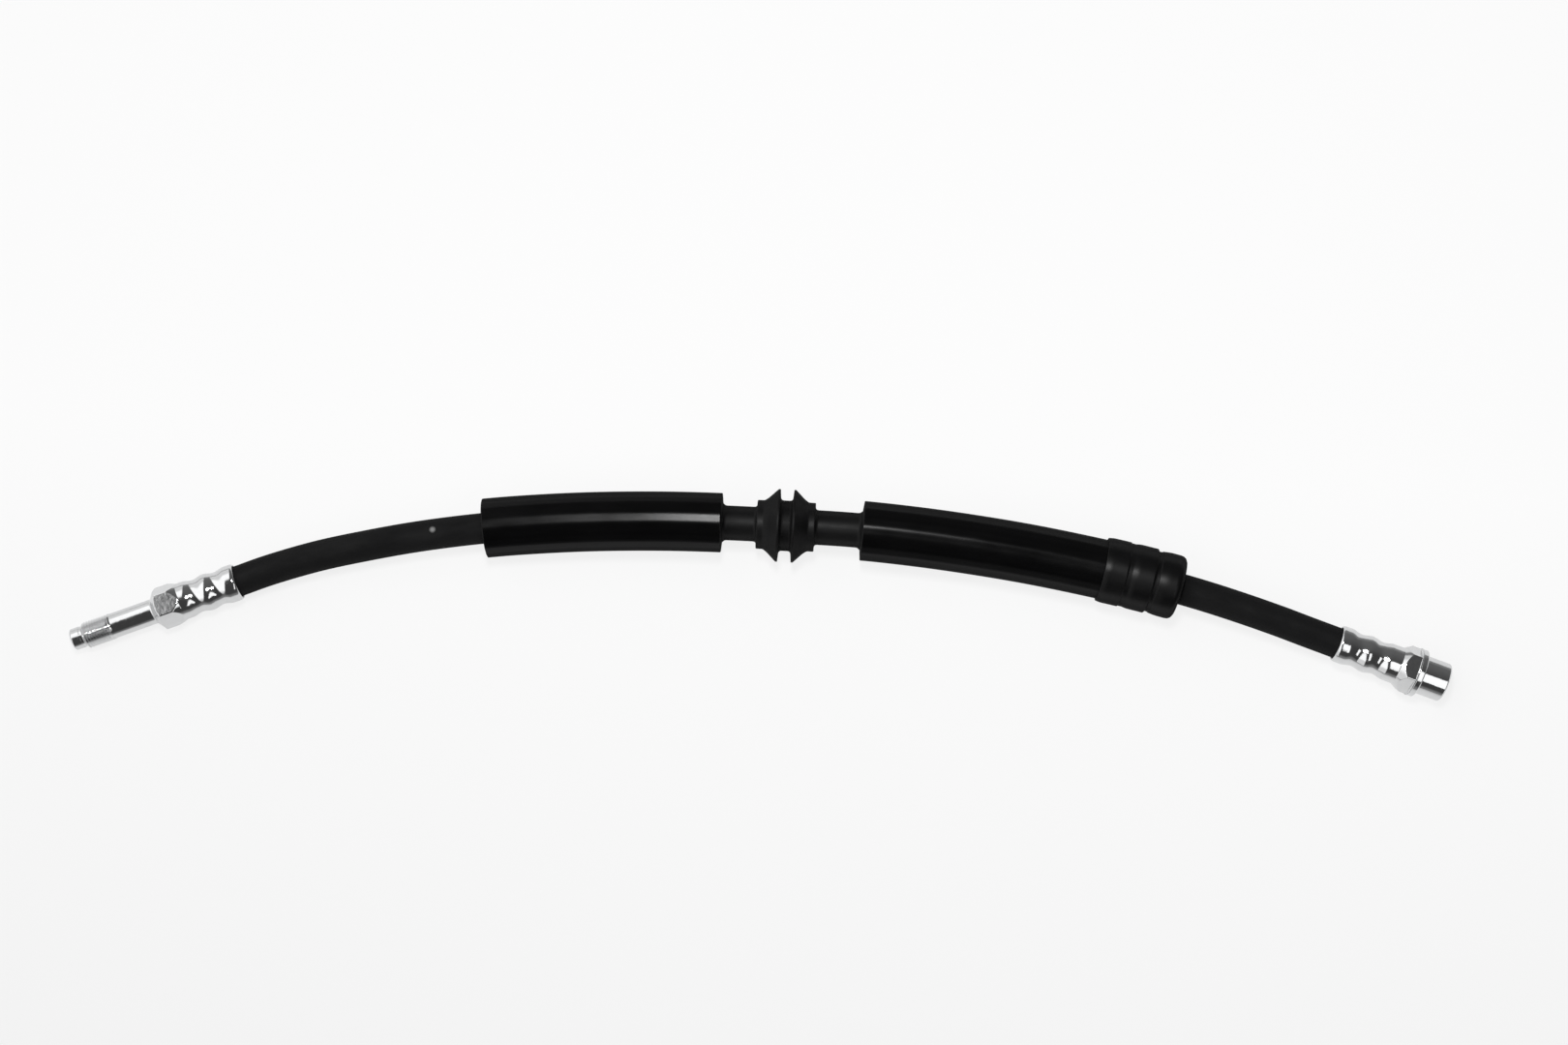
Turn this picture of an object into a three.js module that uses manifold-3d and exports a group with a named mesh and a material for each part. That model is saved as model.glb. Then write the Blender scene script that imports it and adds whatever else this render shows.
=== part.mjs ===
// Brake hose of a car: a rubber hose with a male fitting at its left end and a female fitting at
// its right end, both crimped on, a grommet in its middle that sits in a bracket, a ribbed sleeve
// on each side of the grommet, and a ringed cap that closes the right sleeve.
// Millimetres, +Z up. The hose lies on a flat surface at z = 0, and +X runs from left to right.

import * as THREE from 'three';
import { mergeVertices } from 'three/addons/utils/BufferGeometryUtils.js';
import Module from 'manifold-3d';

const wasm = await Module();
wasm.setup();

// Clearance between pieces that touch
const fitGap = 0.3;

// Hose
const hoseRadius = 5.7;
const hoseBoreRadius = 2.1;
const hoseSides = 10;
const hoseStep = 14;

// Route of the hose's centreline, from its end in the male fitting to its end in the female one.
// The first three and the last three points lie on straight lines, inside and next to the fittings.
const routePoints = [
  [-211.188, -15.727, 7.365],
  [-191.842, -7.59, 8.1],
  [-181.709, -3.328, 8.485],
  [-164.198, 2.798, 9.1],
  [-147.198, 7.398, 9.7],
  [-127.198, 12.048, 10.35],
  [-103.898, 16.198, 11.15],
  [-84.698, 18.698, 11.75],
  [-62.198, 20.848, 12.35],
  [-37.198, 22.298, 12.95],
  [-15.198, 22.848, 13.3],
  [8.602, 22.948, 13.41],
  [32.802, 22.748, 13.41],
  [54.302, 21.648, 13.3],
  [75.802, 19.848, 13.15],
  [97.102, 17.448, 12.95],
  [118.802, 14.248, 12.7],
  [134.802, 11.498, 12.5],
  [150.802, 8.248, 12.2],
  [162.802, 5.448, 11.9],
  [177.802, 1.448, 11.45],
  [190.802, -2.352, 11.0],
  [199.882, -5.256, 10.711],
  [210.382, -8.507, 10.288],
  [230.429, -14.712, 9.482],
];

// Stretches along the hose, from the male fitting's mouth to the female one's
const bareHoseLength = 92.95;
const leftSleeveLength = 88.1;
const leftNeckLength = 12.45;
const rightNeckLength = 17.0;
const rightSleeveShown = 89.55;

// Crimped shells of both fittings, measured outwards from the shell's mouth
const shellWall = 0.9;
const shellRadius = 6.9;
const crimpCentres = [7.5, 15.7];
const crimpDepth = 0.75;
const crimpHalfWidth = 4.1;
const lipLength = 1.9;
const lipBlend = 1.6;
const cavityDepth = 20.6;
const hoseEndGap = 0.6;
const shellStep = 1.5;
const fittingSides = 24;

// Insert tubes, which hold each end of the hose out against its shell
const insertBore = 1.0;
const insertRadius = 1.55;
const barbHeight = 0.25;
const barbLength = 2.4;
const barbCount = 5;
const insertTipSetback = 2.5;
const insertSeatDepth = 5.5;
const insertSides = 12;

// Male fitting
const maleHexFlats = 14.0;
const maleHexStart = 21.8;
const maleHexBackCone = 4.0;
const maleHexFrontCone = 2.8;
const maleHexEnd = 32.5;
const shankRadius = 4.65;
const shankLength = 16.3;
const maleThreadRadius = 4.9;
const maleThreadLength = 10.8;
const threadRunOut = 0.5;
const noseGrooveRadius = 3.9;
const noseGrooveLength = 1.0;
const noseRadius = 4.05;
const noseLength = 3.5;
const noseChamfer = 0.5;
const fluidBoreRadius = 1.5;

// Female fitting
const femaleShellEnd = 23.5;
const femaleBodyRadius = 6.95;
const femaleHexFlats = 15.4;
const femaleHexCone = 3.6;
const femaleHexEnd = 29.8;
const flangeRadius = 8.95;
const flangeThickness = 2.4;
const flangeChamfer = 0.35;
const barrelRadius = 7.2;
const barrelLength = 9.6;
const barrelChamfer = 0.6;
const socketRadius = 4.5;
const socketDepth = 12.6;
const socketCountersink = 0.7;
const drillPointAngle = 118;

// Grommet
const neckRadius = 6.4;
const neckOverlap = 10.0;
const hubRadius = 9.0;
const hubLength = 2.55;
const wingRadius = 13.4;
const wingLength = 5.45;
const wingRim = 0.55;
const grooveWidth = 4.3;
const grooveRootRadius = 9.3;
const grooveFillet = 0.8;
const grommetSides = 24;
const neckStep = 9;

// Sleeves
const sleeveRadius = 11.0;
const ribDepth = 0.35;
const ribCount = 18;
const sleeveBoreSides = 16;
const sleeveSteps = 8;

// Cap on the right sleeve
const capRadius = 12.1;
const capLength = 29.15;
const capSleeveDepth = 14.5;
const ringLength = 8.65;
const grooveLength = 1.8;
const capGrooveDepths = [0.4, 0.8];
const ringRound = 0.5;
const capEndRound = 2.2;
const capSides = 24;

// Finishes
const steel = new THREE.MeshStandardMaterial({ color: 0xc4c6c8, metalness: 1, roughness: 0.22 });
const innerSteel = new THREE.MeshStandardMaterial({ color: 0xb0b2b4, metalness: 1, roughness: 0.4 });
const hoseRubber = new THREE.MeshStandardMaterial({ color: 0x17171a, metalness: 0, roughness: 0.75 });
const sleeveRubber = new THREE.MeshStandardMaterial({ color: 0x101012, metalness: 0, roughness: 0.35 });
const mouldedRubber = new THREE.MeshStandardMaterial({ color: 0x141416, metalness: 0, roughness: 0.5 });

// The route, and the places of the pieces on it
const route = new THREE.CatmullRomCurve3(routePoints.map((point) => new THREE.Vector3(...point)));
route.arcLengthDivisions = 1200;
const hoseLength = route.getLength();
const hoseInShell = cavityDepth - hoseEndGap;
const leftSleeveStart = hoseInShell + bareHoseLength;
const leftSleeveEnd = leftSleeveStart + leftSleeveLength;
const grommetStart = leftSleeveEnd + leftNeckLength;
const grommetLength = 2 * (hubLength + wingLength + wingRim) + grooveWidth;
const rightSleeveStart = grommetStart + grommetLength + rightNeckLength;
const capStart = rightSleeveStart + rightSleeveShown;

// A part of the route as a curve of its own, for pieces with one section all along
class Stretch extends THREE.Curve {
  constructor(start, end) {
    super();
    this.start = start;
    this.end = end;
  }

  getPoint(t, target = new THREE.Vector3()) {
    const along = this.start + (this.end - this.start) * t;
    return route.getPointAt(along / hoseLength, target);
  }
}

// The frame of the route at a distance along it: y along the hose, z up, x to its right side
function routeFrame(along) {
  const forward = route.getTangentAt(THREE.MathUtils.clamp(along / hoseLength, 0, 1));
  const right = new THREE.Vector3().crossVectors(forward, new THREE.Vector3(0, 0, 1)).normalize();
  const up = new THREE.Vector3().crossVectors(right, forward);
  const origin = route.getPointAt(THREE.MathUtils.clamp(along / hoseLength, 0, 1));
  return { origin, right, forward, up };
}

// Bends a geometry that was made straight along +Y onto the route, with its y = 0 at start
function bendOnRoute(geometry, start) {
  const position = geometry.attributes.position;
  for (let i = 0; i < position.count; i += 1) {
    const { origin, right, up } = routeFrame(start + position.getY(i));
    origin.addScaledVector(right, position.getX(i)).addScaledVector(up, position.getZ(i));
    position.setXYZ(i, origin.x, origin.y, origin.z);
  }
  geometry.computeVertexNormals();
  return geometry;
}

// Adds points to the long sides of an outline, so that it can bend
function splitLongSides(outline, longest) {
  const split = [outline[0]];
  for (let i = 1; i < outline.length; i += 1) {
    const [y0, r0] = outline[i - 1];
    const [y1, r1] = outline[i];
    const pieces = Math.max(1, Math.ceil(Math.abs(y1 - y0) / longest));
    for (let k = 1; k <= pieces; k += 1) {
      split.push([y0 + ((y1 - y0) * k) / pieces, r0 + ((r1 - r0) * k) / pieces]);
    }
  }
  return split;
}

// Turns a closed outline of [along, radius] pairs about +Y
function turned(outline, sides) {
  const points = [...outline, outline[0]].map(([along, radius]) => new THREE.Vector2(radius, along));
  return new THREE.LatheGeometry(points, sides);
}

// An arc in an outline, about a centre, from one angle to another in degrees from the +Y direction
function arc([centreY, centreRadius], radius, fromAngle, toAngle, steps = 3) {
  return Array.from({ length: steps + 1 }, (_, i) => {
    const angle = THREE.MathUtils.degToRad(fromAngle + ((toAngle - fromAngle) * i) / steps);
    return [centreY + radius * Math.cos(angle), centreRadius + radius * Math.sin(angle)];
  });
}

// A closed geometry as a solid for joins and cuts
function toSolid(geometry) {
  const bare = geometry.clone();
  bare.deleteAttribute('normal');
  bare.deleteAttribute('uv');
  const merged = mergeVertices(bare, 1e-4);
  const corners = Array.from(merged.index.array);
  const triVerts = [];
  for (let i = 0; i < corners.length; i += 3) {
    const [a, b, c] = corners.slice(i, i + 3);
    if (a !== b && b !== c && c !== a) {
      triVerts.push(a, b, c);
    }
  }
  const vertProperties = merged.attributes.position.array;
  return new wasm.Manifold(new wasm.Mesh({
    numProp: 3,
    vertProperties,
    triVerts: new Uint32Array(triVerts),
  }));
}

// A solid as a geometry again
function toGeometry(solid) {
  const mesh = solid.getMesh();
  const geometry = new THREE.BufferGeometry();
  geometry.setAttribute('position', new THREE.BufferAttribute(new Float32Array(mesh.vertProperties), 3));
  geometry.setIndex(Array.from(mesh.triVerts));
  geometry.computeVertexNormals();
  return geometry;
}

function namedMesh(name, geometry, material) {
  const mesh = new THREE.Mesh(geometry, material);
  mesh.name = name;
  return mesh;
}

// Outside radius of a crimped shell: dips at the crimps, and a lip that widens to clear the hose
function shellOutside(along, plainRadius) {
  const lipRadius = hoseRadius + fitGap + shellWall;
  const lipShare = 1 - THREE.MathUtils.smoothstep(along, lipLength, lipLength + lipBlend);
  let radius = THREE.MathUtils.lerp(plainRadius, lipRadius, lipShare);
  for (const centre of crimpCentres) {
    const offset = Math.abs(along - centre) / crimpHalfWidth;
    if (offset < 1) {
      radius -= crimpDepth * (0.5 + 0.5 * Math.cos(Math.PI * offset));
    }
  }
  return radius;
}

// Places where a shell's outline has a point, between its mouth and an end
function shellPlaces(end) {
  const count = Math.ceil(end / shellStep);
  return Array.from({ length: count + 1 }, (_, i) => (end * i) / count);
}

// Radius of the hose where it is squeezed, at a depth in the shell
function squeezedRadius(depth) {
  return Math.min(hoseRadius, shellOutside(depth, shellRadius) - shellWall - fitGap);
}

// The room inside a shell for the hose, the insert's seat behind it and the fluid bore
function fittingHollow(boreEnd) {
  const wallPoints = shellPlaces(cavityDepth).map((y) => [y, shellOutside(y, shellRadius) - shellWall]);
  const seatRadius = insertRadius + fitGap;
  const seatEnd = cavityDepth + insertSeatDepth;
  const mouthRadius = wallPoints[0][1];
  const outline = [
    [boreEnd, 0],
    [-1, 0],
    [-1, mouthRadius],
    ...wallPoints,
    [cavityDepth, seatRadius],
    [seatEnd, seatRadius],
    [seatEnd, fluidBoreRadius],
    [boreEnd, fluidBoreRadius],
  ];
  return toSolid(turned(outline, fittingSides));
}

// Distance of a hexagon's corners from its middle
function cornersOf(acrossFlats) {
  return acrossFlats / 2 / Math.cos(Math.PI / 6);
}

// A hexagon prism with a flat up, between cones that turn its corners off at both ends
function coned(acrossFlats, start, end, envelope) {
  const corners = cornersOf(acrossFlats);
  const prism = new THREE.CylinderGeometry(corners, corners, end - start, 6);
  prism.rotateY(Math.PI / 6);
  prism.translate(0, (start + end) / 2, 0);
  return toSolid(prism).intersect(toSolid(turned(envelope, fittingSides * 2)));
}

// Male fitting: nose, threaded stem, shank, hexagon and crimped shell, turned from one bar
function maleFitting() {
  const cornerRadius = cornersOf(maleHexFlats) + fitGap;
  const threadStart = maleHexEnd + shankLength;
  const threadEnd = threadStart + maleThreadLength;
  const noseStart = threadEnd + noseGrooveLength;
  const tip = noseStart + noseLength;
  const shellPoints = shellPlaces(maleHexStart).map((y) => [y, shellOutside(y, shellRadius)]);
  const body = toSolid(turned([
    [0, 0],
    ...shellPoints,
    [maleHexEnd - maleHexFrontCone, shellRadius],
    [maleHexEnd, shankRadius],
    [threadStart, shankRadius],
    [threadStart + threadRunOut, maleThreadRadius],
    [threadEnd - threadRunOut, maleThreadRadius],
    [threadEnd, noseGrooveRadius],
    [noseStart, noseGrooveRadius],
    [noseStart, noseRadius],
    [tip - noseChamfer, noseRadius],
    [tip, noseRadius - noseChamfer],
    [tip, 0],
  ], fittingSides));
  const hexagon = coned(maleHexFlats, maleHexStart, maleHexEnd, [
    [maleHexStart, 0],
    [maleHexStart, shellRadius],
    [maleHexStart + maleHexBackCone, cornerRadius],
    [maleHexEnd - maleHexFrontCone, cornerRadius],
    [maleHexEnd, shankRadius],
    [maleHexEnd, 0],
  ]);
  return toGeometry(body.add(hexagon).subtract(fittingHollow(tip + 1)));
}

// Female fitting: crimped shell, hexagon, flange that bears on the bracket, and threaded barrel
function femaleFitting() {
  const cornerRadius = cornersOf(femaleHexFlats) + fitGap;
  const flangeEnd = femaleHexEnd + flangeThickness;
  const mouth = flangeEnd + barrelLength;
  const shellPoints = shellPlaces(femaleShellEnd).map((y) => [
    y,
    shellOutside(y, THREE.MathUtils.lerp(
      shellRadius,
      femaleBodyRadius,
      THREE.MathUtils.smoothstep(y, crimpCentres[1], crimpCentres[1] + crimpHalfWidth),
    )),
  ]);
  const body = toSolid(turned([
    [0, 0],
    ...shellPoints,
    [femaleHexEnd, femaleBodyRadius],
    [femaleHexEnd, flangeRadius - flangeChamfer],
    [femaleHexEnd + flangeChamfer, flangeRadius],
    [flangeEnd - flangeChamfer, flangeRadius],
    [flangeEnd, flangeRadius - flangeChamfer],
    [flangeEnd, barrelRadius],
    [mouth - barrelChamfer, barrelRadius],
    [mouth, barrelRadius - barrelChamfer],
    [mouth, 0],
  ], fittingSides));
  const hexagon = coned(femaleHexFlats, femaleShellEnd, femaleHexEnd + flangeChamfer, [
    [femaleShellEnd, 0],
    [femaleShellEnd, femaleBodyRadius],
    [femaleShellEnd + femaleHexCone, cornerRadius],
    [femaleHexEnd + flangeChamfer, cornerRadius],
    [femaleHexEnd + flangeChamfer, 0],
  ]);
  const drillPoint = socketRadius / Math.tan(THREE.MathUtils.degToRad(drillPointAngle / 2));
  const socketEnd = mouth - socketDepth;
  const socket = toSolid(turned([
    [mouth + 1, 0],
    [socketEnd - drillPoint, 0],
    [socketEnd, socketRadius],
    [mouth - socketCountersink, socketRadius],
    [mouth, socketRadius + socketCountersink],
    [mouth + 1, socketRadius + socketCountersink],
  ], fittingSides));
  return toGeometry(body.add(hexagon).subtract(fittingHollow(socketEnd)).subtract(socket));
}

// Insert tube: barbed inside the hose, plain in its seat in the fitting
function insertTube() {
  const seatEnd = cavityDepth + insertSeatDepth - fitGap;
  const barbs = Array.from({ length: barbCount }, (_, i) => {
    const start = insertTipSetback + i * barbLength;
    return [[start, insertRadius], [start + barbLength - fitGap, insertRadius + barbHeight]];
  }).flat();
  const plainStart = insertTipSetback + barbCount * barbLength;
  return turned([
    ...barbs,
    [plainStart, insertRadius],
    [seatEnd, insertRadius],
    [seatEnd, insertBore],
    [insertTipSetback, insertBore],
  ], insertSides);
}

// A group that stands at a shell's mouth, with +Y pointing out of the hose along the fitting
function fittingGroup(along, outwards) {
  const { origin, forward } = routeFrame(along);
  const axis = forward.multiplyScalar(outwards);
  const right = new THREE.Vector3().crossVectors(axis, new THREE.Vector3(0, 0, 1)).normalize();
  const up = new THREE.Vector3().crossVectors(right, axis);
  const group = new THREE.Group();
  group.position.copy(origin);
  group.quaternion.setFromRotationMatrix(new THREE.Matrix4().makeBasis(right, axis, up));
  return group;
}

// Hose with its bore, squeezed where the shells are crimped on it
function hose() {
  const depths = shellPlaces(hoseInShell);
  const maleEnd = depths.map((depth) => [hoseInShell - depth, squeezedRadius(depth)]).reverse();
  const femaleEnd = depths.map((depth) => [hoseLength - hoseInShell + depth, squeezedRadius(depth)]);
  const outline = [
    ...maleEnd,
    ...splitLongSides([maleEnd.at(-1), femaleEnd[0]], hoseStep).slice(1),
    ...femaleEnd.slice(1),
    ...splitLongSides([[hoseLength, hoseBoreRadius], [0, hoseBoreRadius]], hoseStep),
  ];
  return bendOnRoute(turned(outline, hoseSides), 0);
}

// Grommet: two wings with a bracket groove between them, hubs, and thin necks under the sleeves
function grommet() {
  const bore = hoseRadius + fitGap;
  const neckStart = -leftNeckLength - neckOverlap;
  const neckEnd = grommetLength + rightNeckLength + neckOverlap;
  const grooveStart = hubLength + wingLength + wingRim;
  const grooveEnd = grooveStart + grooveWidth;
  const rootCentre = grooveRootRadius + grooveFillet;
  const outline = [
    [neckStart, neckRadius],
    [0, neckRadius],
    [0, hubRadius],
    [hubLength, hubRadius],
    [grooveStart - wingRim, wingRadius],
    [grooveStart, wingRadius],
    ...arc([grooveStart + grooveFillet, rootCentre], grooveFillet, 180, 270),
    ...arc([grooveEnd - grooveFillet, rootCentre], grooveFillet, 270, 360),
    [grooveEnd, wingRadius],
    [grooveEnd + wingRim, wingRadius],
    [grommetLength - hubLength, hubRadius],
    [grommetLength, hubRadius],
    [grommetLength, neckRadius],
    [neckEnd, neckRadius],
    [neckEnd, bore],
    [neckStart, bore],
  ];
  return bendOnRoute(turned(splitLongSides(outline, neckStep), grommetSides), grommetStart);
}

// Sleeve with ribs along its outside, as one section carried along a stretch of the route
function sleeve(start, end) {
  const pointsPerRib = 2; // a crest and a valley
  const outside = Array.from({ length: ribCount * pointsPerRib }, (_, i) => {
    const angle = (2 * Math.PI * i) / (ribCount * pointsPerRib);
    const radius = sleeveRadius - (i % pointsPerRib) * ribDepth;
    return new THREE.Vector2(radius * Math.cos(angle), radius * Math.sin(angle));
  });
  const section = new THREE.Shape(outside);
  const boreRadius = neckRadius + fitGap;
  const bore = Array.from({ length: sleeveBoreSides }, (_, i) => {
    const angle = (2 * Math.PI * i) / sleeveBoreSides;
    return new THREE.Vector2(boreRadius * Math.cos(angle), boreRadius * Math.sin(angle));
  });
  section.holes.push(new THREE.Path(bore));
  return new THREE.ExtrudeGeometry(section, { steps: sleeveSteps, extrudePath: new Stretch(start, end) });
}

// Cap: three rings parted by two grooves, a socket for the sleeve and a bore for the hose
function sleeveCap() {
  const outline = [];
  let ringStart = 0;
  for (const grooveDepth of capGrooveDepths) {
    const ringEnd = ringStart + ringLength;
    const floor = capRadius - grooveDepth;
    outline.push(
      [ringStart, capRadius - ringRound],
      [ringStart + ringRound, capRadius],
      [ringEnd - ringRound / 2, capRadius],
      [ringEnd, capRadius - ringRound / 2],
      [ringEnd + ringRound / 2, floor],
      [ringEnd + grooveLength - ringRound / 2, floor],
    );
    ringStart = ringEnd + grooveLength;
  }
  const socketRadiusForSleeve = sleeveRadius + fitGap;
  const boreRadius = hoseRadius + fitGap;
  outline.push(
    [ringStart, capRadius - ringRound],
    [ringStart + ringRound, capRadius],
    ...arc([capLength - capEndRound, capRadius - capEndRound], capEndRound, 90, 0),
    [capLength, boreRadius],
    [capSleeveDepth + fitGap, boreRadius],
    [capSleeveDepth + fitGap, socketRadiusForSleeve],
    [0, socketRadiusForSleeve],
  );
  return bendOnRoute(turned(splitLongSides(outline, neckStep), capSides), capStart);
}

const brakeHose = new THREE.Group();

const maleEnd = fittingGroup(hoseInShell, -1);
maleEnd.add(namedMesh('male_fitting', maleFitting(), steel));
maleEnd.add(namedMesh('male_insert', insertTube(), innerSteel));
brakeHose.add(maleEnd);

const femaleEnd = fittingGroup(hoseLength - hoseInShell, 1);
femaleEnd.add(namedMesh('female_fitting', femaleFitting(), steel));
femaleEnd.add(namedMesh('female_insert', insertTube(), innerSteel));
brakeHose.add(femaleEnd);

brakeHose.add(namedMesh('hose', hose(), hoseRubber));
brakeHose.add(namedMesh('left_sleeve', sleeve(leftSleeveStart, leftSleeveEnd), sleeveRubber));
brakeHose.add(namedMesh('grommet', grommet(), mouldedRubber));
brakeHose.add(namedMesh('right_sleeve', sleeve(rightSleeveStart, capStart + capSleeveDepth), sleeveRubber));
brakeHose.add(namedMesh('sleeve_cap', sleeveCap(), mouldedRubber));

export default brakeHose;
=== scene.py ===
"""Dresses the brake hose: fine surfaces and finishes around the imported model, and its stage.

Every piece is one closed outline in the plane of a distance along the hose and a radius, carried
round the hose's centreline. Where the piece isn't round, its radius also depends on the angle.
All sizes are in metres.
"""

import math

import bpy
import numpy as np
from bpy.props import (
    FloatProperty, FloatVectorProperty, IntProperty, PointerProperty,
)
from mathutils import Matrix, Vector


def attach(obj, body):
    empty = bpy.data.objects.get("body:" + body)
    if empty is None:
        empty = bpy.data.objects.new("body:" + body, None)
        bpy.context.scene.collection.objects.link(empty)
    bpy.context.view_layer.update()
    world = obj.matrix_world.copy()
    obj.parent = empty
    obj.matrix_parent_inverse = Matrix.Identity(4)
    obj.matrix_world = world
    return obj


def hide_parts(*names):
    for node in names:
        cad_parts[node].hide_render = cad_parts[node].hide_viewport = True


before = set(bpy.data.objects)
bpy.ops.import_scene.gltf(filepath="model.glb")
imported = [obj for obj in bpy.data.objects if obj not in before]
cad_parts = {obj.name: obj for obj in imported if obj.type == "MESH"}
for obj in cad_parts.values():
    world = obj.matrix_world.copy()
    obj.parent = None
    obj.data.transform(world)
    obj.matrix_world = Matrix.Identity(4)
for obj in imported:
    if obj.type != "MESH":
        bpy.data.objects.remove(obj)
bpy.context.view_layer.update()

bl_info = {
    "name": "Brake Hose",
    "version": (1, 0, 0),
    "blender": (4, 5, 0),
    "location": "View3D > Sidebar > Brake Hose",
    "description": "Builds a crimped rubber brake hose with its sleeves, grommet and fittings",
    "category": "Add Mesh",
}

MM = 0.001
ROOT_BODY = "root"

# The hose's centreline, from its end in the male fitting to its end in the female one
ROUTE_POINTS = [
    (-0.211188, -0.015727, 0.007365),
    (-0.191842, -0.00759, 0.0081),
    (-0.181709, -0.003328, 0.008485),
    (-0.164198, 0.002798, 0.0091),
    (-0.147198, 0.007398, 0.0097),
    (-0.127198, 0.012048, 0.01035),
    (-0.103898, 0.016198, 0.01115),
    (-0.084698, 0.018698, 0.01175),
    (-0.062198, 0.020848, 0.01235),
    (-0.037198, 0.022298, 0.01295),
    (-0.015198, 0.022848, 0.0133),
    (0.008602, 0.022948, 0.01341),
    (0.032802, 0.022748, 0.01341),
    (0.054302, 0.021648, 0.0133),
    (0.075802, 0.019848, 0.01315),
    (0.097102, 0.017448, 0.01295),
    (0.118802, 0.014248, 0.0127),
    (0.134802, 0.011498, 0.0125),
    (0.150802, 0.008248, 0.0122),
    (0.162802, 0.005448, 0.0119),
    (0.177802, 0.001448, 0.01145),
    (0.190802, -0.002352, 0.011),
    (0.199882, -0.005256, 0.010711),
    (0.210382, -0.008507, 0.010288),
    (0.230429, -0.014712, 0.009482),
]
ROUTE_STEPS = 64  # points of the route between two of the chosen ones


def length(name, mm, text):
    """A length property, given in millimetres."""
    return FloatProperty(
        name=name, description=text, default=mm * MM, min=0.0, precision=5, unit="LENGTH")


def rotation(name, degrees, text):
    """An angle property, given in degrees."""
    return FloatProperty(
        name=name, description=text, default=math.radians(degrees), unit="ROTATION")


def colour(name, value, text):
    """A linear colour property."""
    return FloatVectorProperty(
        name=name, description=text, default=value, subtype="COLOR", min=0.0, max=1.0)


def share(name, value, text):
    """A factor from 0 to 1."""
    return FloatProperty(
        name=name, description=text, default=value, min=0.0, max=1.0, subtype="FACTOR")


class HoseSizes(bpy.types.PropertyGroup):
    """The hose, and the stretches between the pieces on it."""
    radius: length("Radius", 5.7, "Outside radius of the hose")
    bore: length("Bore radius", 2.1, "Radius of the hose's bore")
    gap: length("Gap", 0.3, "Clearance between pieces that touch")
    bare: length("Bare hose", 92.95, "From the male fitting's mouth to the left sleeve")
    left_neck: length("Left neck", 12.45, "From the left sleeve to the grommet")
    right_neck: length("Right neck", 17.0, "From the grommet to the right sleeve")
    in_shell: length("In the shell", 20.0, "Length of the hose inside each fitting")
    speck_along: length("Speck's place", 94.75, "From the hose's male end to the pale speck")
    speck_angle: rotation("Speck's angle", -8, "Angle of the speck from the top")
    speck_radius: length("Speck radius", 1.35, "Radius at which the speck has faded out")


class SleeveSizes(bpy.types.PropertyGroup):
    """The two ribbed sleeves."""
    radius: length("Radius", 11.0, "Radius over the ribs")
    left_length: length("Left length", 88.1, "Length of the left sleeve")
    right_shown: length("Right length shown", 89.55, "The right sleeve up to its cap")
    rib_depth: length("Rib depth", 0.08, "Depth of the valleys between the ribs")
    ribs: IntProperty(name="Ribs", description="Ribs around a sleeve", default=18, min=3)
    left_turn: rotation("Left turn", -8, "Angle from the top to a rib of the left sleeve")
    rounding: length("Rounding", 0.35, "Rounding of the ends' edges")
    end_cone: length("End cone", 0.45, "How far each end's outer edge stands back")


class GrommetSizes(bpy.types.PropertyGroup):
    """The grommet, with its thin necks."""
    neck: length("Neck radius", 6.4, "Radius of the necks under the sleeves")
    overlap: length("Neck overlap", 10.0, "Length of each neck inside a sleeve")
    hub: length("Hub radius", 9.0, "Radius of the hubs")
    hub_length: length("Hub length", 2.55, "Length of each hub")
    wing: length("Wing radius", 13.4, "Radius of the wings")
    wing_length: length("Wing length", 6.0, "Length of each wing with its rim")
    rim: length("Rim", 0.7, "Width of each wing's rim")
    flare: length("Flare", 0.35, "How far each wing's rim leans away from the groove")
    dish: length("Dish", 0.3, "How far each wing's cone is hollow near its hub")
    groove: length("Groove width", 4.3, "Width of the bracket groove")
    root: length("Root radius", 9.3, "Radius of the groove's floor")
    neck_fillet: length("Neck fillet", 1.4, "Fillet between neck and hub")
    bead: length("Bead", 1.3, "Length of the fillet between neck and sleeve")


class CapSizes(bpy.types.PropertyGroup):
    """The ringed cap on the right sleeve."""
    radius: length("Radius", 12.1, "Radius of the rings")
    length: length("Length", 29.15, "Length of the cap")
    ring: length("Ring length", 8.25, "Length of the first and the second ring")
    groove: length("Groove length", 1.8, "Length of each groove")
    shallow: length("Shallow groove", 0.32, "Depth of the first groove")
    deep: length("Deep groove", 0.8, "Depth of the second groove")
    sleeve_depth: length("Sleeve depth", 14.5, "Length of the sleeve inside the cap")
    end_round: length("End rounding", 2.8, "Rounding of the far end")
    shoulder: length("Shoulder", 1.8, "Length of each ring's rising left edge")
    rise: length("Rise", 0.32, "Height that it rises by")


class ShellSizes(bpy.types.PropertyGroup):
    """The crimped shells of both fittings, measured outwards from the mouth."""
    wall: length("Wall", 0.9, "Thickness of the shell")
    radius: length("Radius", 6.9, "Outside radius between the crimps")
    crimp_1: length("First crimp", 7.5, "From the mouth to the first crimp")
    crimp_2: length("Second crimp", 15.7, "From the mouth to the second crimp")
    depth: length("Crimp depth", 0.75, "Depth of the crimps")
    half_width: length("Crimp half width", 4.1, "Half the width of a crimp")
    lip: length("Lip length", 1.9, "Length of the lip")
    lip_blend: length("Lip blend", 1.6, "Length of the lip's run-out")
    lip_round: length("Lip rounding", 1.4, "From the mouth to where the shell rounds off")
    cavity: length("Cavity depth", 20.6, "Depth of the room for the hose")
    seat: length("Seat radius", 1.85, "Radius of the insert's seat")
    seat_depth: length("Seat depth", 5.5, "Depth of the insert's seat")
    bore: length("Fluid bore", 1.5, "Radius of the fluid bore")


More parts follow.
